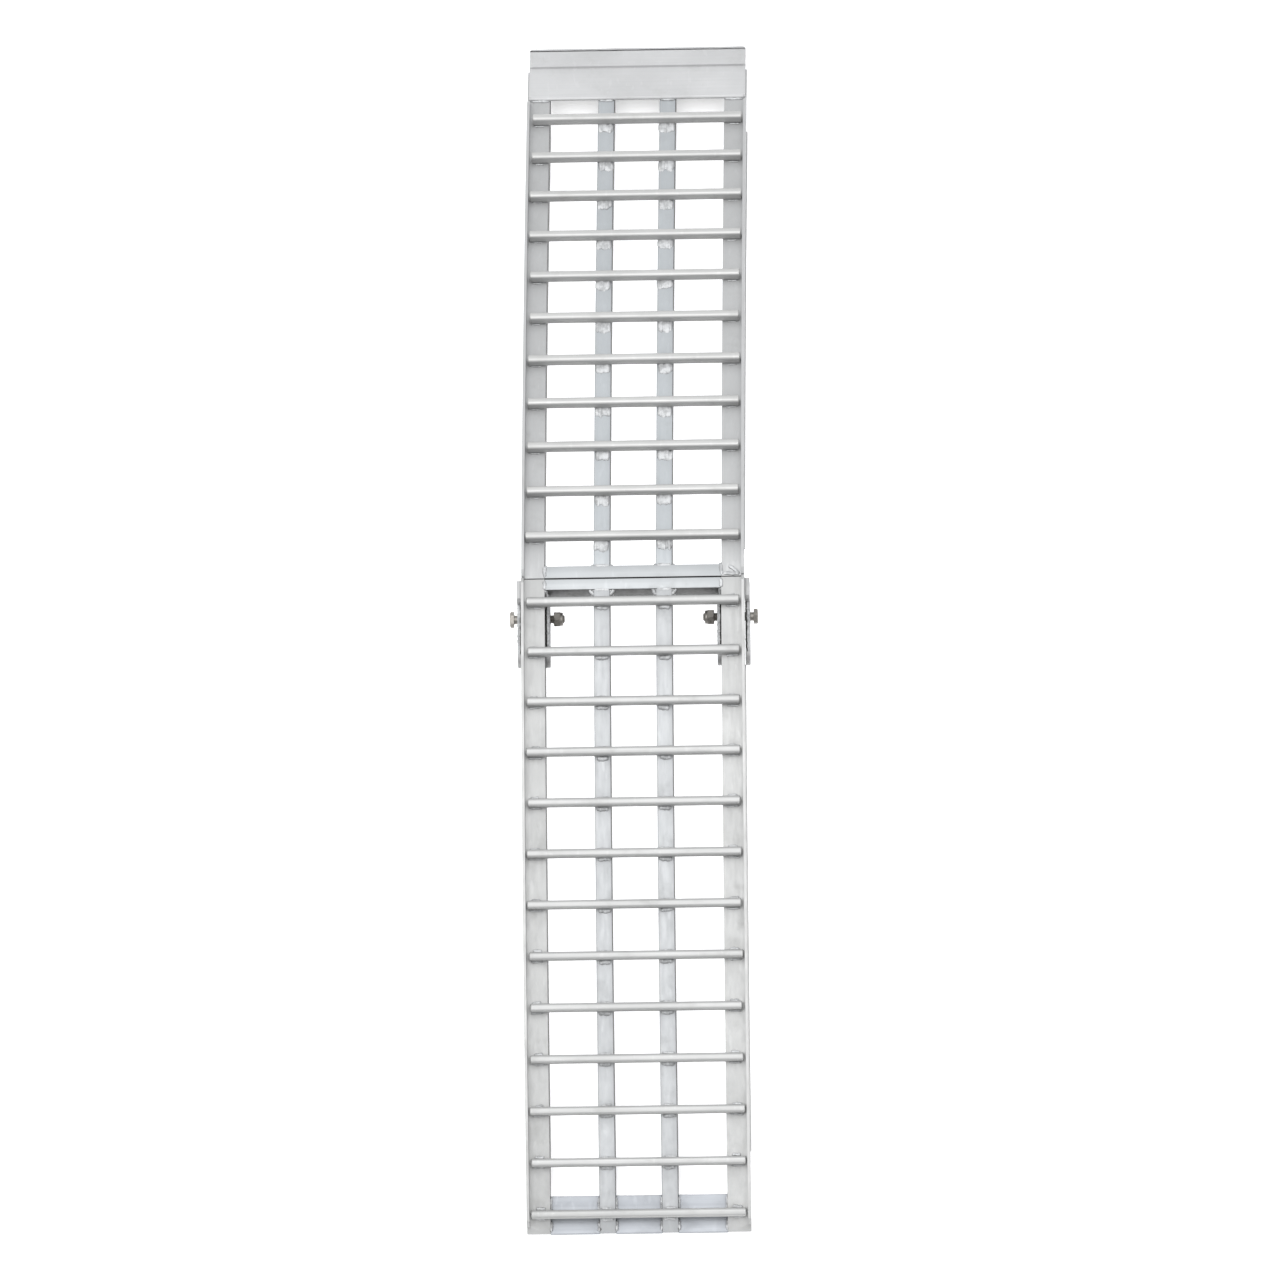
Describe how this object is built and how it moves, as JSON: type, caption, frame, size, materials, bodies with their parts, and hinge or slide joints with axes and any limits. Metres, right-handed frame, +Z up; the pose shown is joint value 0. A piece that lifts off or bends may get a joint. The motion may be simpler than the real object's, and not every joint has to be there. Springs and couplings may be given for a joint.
{
  "type": "folding loading ramp",
  "caption": "Arched folding loading ramp with ladder rungs on parallel rails, hinged at the middle, with a bent lip plate at the top and a foot plate at the bottom.",
  "frame": {"origin": "on the ground, in the middle of the width, straight below the line where the two halves meet", "axes": "+Z up; +Y along the ramp from the foot to the lip; +X across the width, to the right when looking up the ramp"},
  "size_m": [0.3386, 1.7468, 0.2287],
  "materials": {
    "rails": "matt mill finish",
    "rungs": "matt mill finish",
    "lip_plate": "matt mill finish",
    "foot_plate": "satin",
    "hinge_metal": "satin",
    "hardware": "zinc plated, dulled"
  },
  "bodies": {
    "lower_half": {"lower_left_rail": "rails", "lower_right_rail": "rails", "lower_mid_left_rail": "rails", "lower_mid_right_rail": "rails", "lower_rung_1": "rungs", "lower_rung_2": "rungs", "lower_rung_3": "rungs", "lower_rung_4": "rungs", "lower_rung_5": "rungs", "lower_rung_6": "rungs", "lower_rung_7": "rungs", "lower_rung_8": "rungs", "lower_rung_9": "rungs", "lower_rung_10": "rungs", "lower_rung_11": "rungs", "lower_rung_12": "rungs", "lower_rung_13": "rungs", "lower_end_bar": "rails", "foot_plates": "foot_plate", "left_inner_hinge_plate": "hinge_metal", "right_inner_hinge_plate": "hinge_metal", "left_outer_hinge_plate": "hinge_metal", "right_outer_hinge_plate": "hinge_metal", "left_pivot_bolt": "hardware", "right_pivot_bolt": "hardware", "left_lock_nut": "hardware", "right_lock_nut": "hardware"},
    "upper_half": {"upper_left_rail": "rails", "upper_right_rail": "rails", "upper_mid_left_rail": "rails", "upper_mid_right_rail": "rails", "upper_rung_1": "rungs", "upper_rung_2": "rungs", "upper_rung_3": "rungs", "upper_rung_4": "rungs", "upper_rung_5": "rungs", "upper_rung_6": "rungs", "upper_rung_7": "rungs", "upper_rung_8": "rungs", "upper_rung_9": "rungs", "upper_rung_10": "rungs", "upper_rung_11": "rungs", "upper_end_bar": "rails", "lip_plate": "lip_plate", "left_hinge_lug": "hinge_metal", "right_hinge_lug": "hinge_metal"}
  },
  "joints": [
    {"name": "fold", "type": "hinge", "parent": "lower_half", "child": "upper_half", "pos_m": [0, -0.04288, 0.17324], "axis": [-1, 0, 0], "range_deg": [0, 144]}
  ]
}
